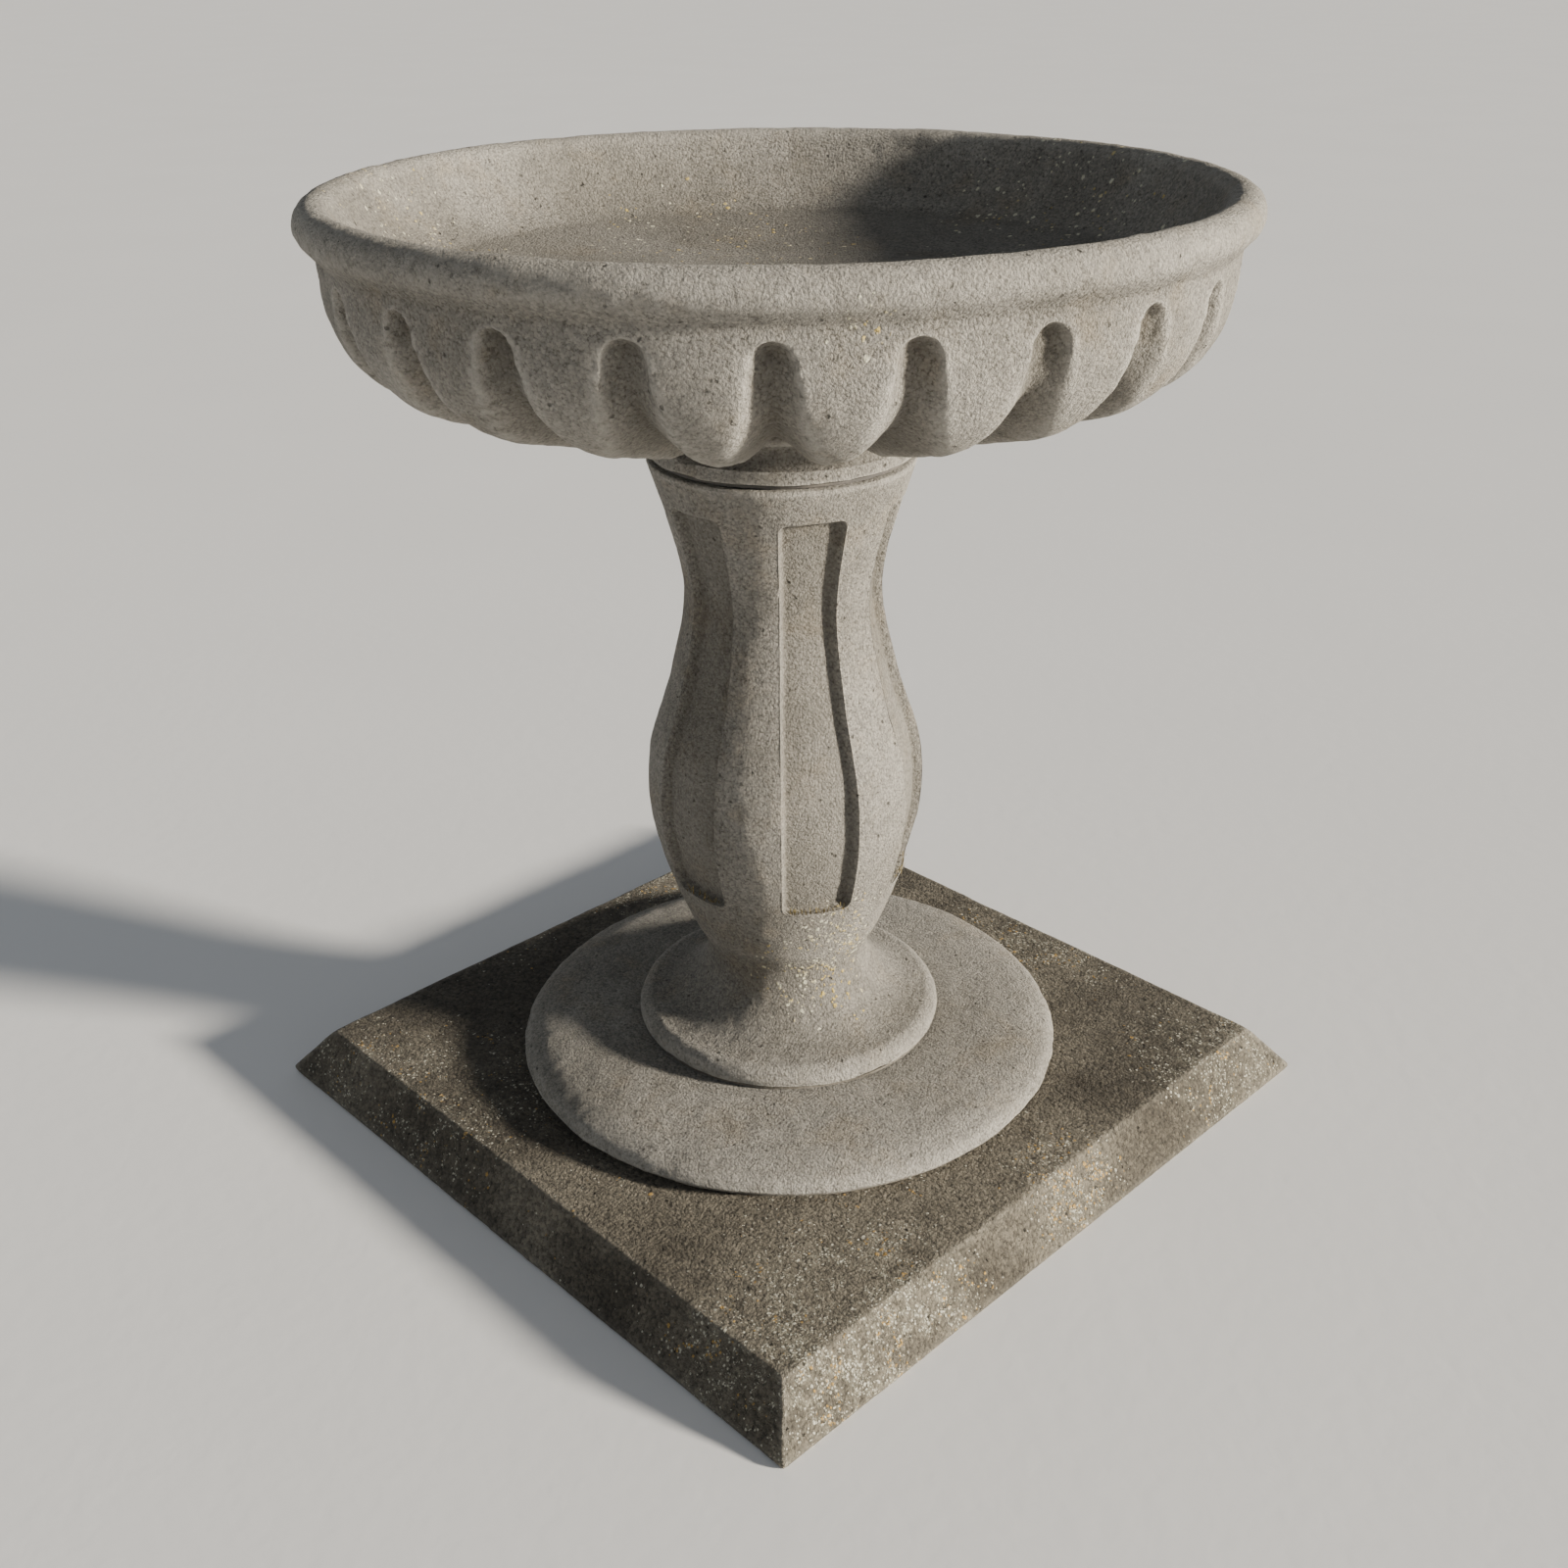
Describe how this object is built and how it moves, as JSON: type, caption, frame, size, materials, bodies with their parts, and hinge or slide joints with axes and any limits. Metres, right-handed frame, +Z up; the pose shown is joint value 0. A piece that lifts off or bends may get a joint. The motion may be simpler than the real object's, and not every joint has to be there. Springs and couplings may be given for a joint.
{
  "type": "bird bath",
  "caption": "Cast stone bird bath: fluted round bowl on a panelled baluster column, a round base and a square plinth slab; the bowl turns and lifts off its dowel.",
  "frame": {"origin": "centre of the slab's underside, on the ground", "axes": "+Z up the column's axis; X and Y parallel to the slab's sides"},
  "size_m": [0.5606, 0.5606, 0.6408],
  "materials": {
    "grey_stone": "cast stone, fine pebbly grain, weathered",
    "dark_stone": "cast stone, dark weathered crust with lichen",
    "mortar": "rough sand mortar",
    "bar_steel": "rusted round bar",
    "stainless": "dull turned bar",
    "rubber": "matt black",
    "bush_plastic": "matt, natural nylon"
  },
  "bodies": {
    "pedestal": {"plinth_slab": "dark_stone", "slab_long_bars": "bar_steel", "slab_cross_bars": "bar_steel", "base_bed": "mortar", "round_base": "grey_stone", "round_base_hoop": "bar_steel", "column_bed": "mortar", "column": "grey_stone", "column_bars": "bar_steel", "column_ties": "bar_steel", "foot_dowel": "stainless", "foot_dowel_grout": "mortar", "head_dowel": "stainless", "head_dowel_grout": "mortar"},
    "bowl_seat": {"bowl_pad": "rubber"},
    "bowl": {"bowl": "grey_stone", "bowl_bush": "bush_plastic", "bowl_rim_hoop": "bar_steel", "bowl_lower_hoop": "bar_steel", "bowl_long_bars": "bar_steel", "bowl_cross_bars": "bar_steel"}
  },
  "joints": [
    {"name": "bowl_turn", "type": "hinge", "parent": "pedestal", "child": "bowl_seat", "pos_m": [0, 0, 0.478], "axis": [0, 0, 1], "continuous": true},
    {"name": "bowl_lift", "type": "slide", "parent": "bowl_seat", "child": "bowl", "axis": [0, 0, 1], "range_m": [0, 0.12]}
  ]
}
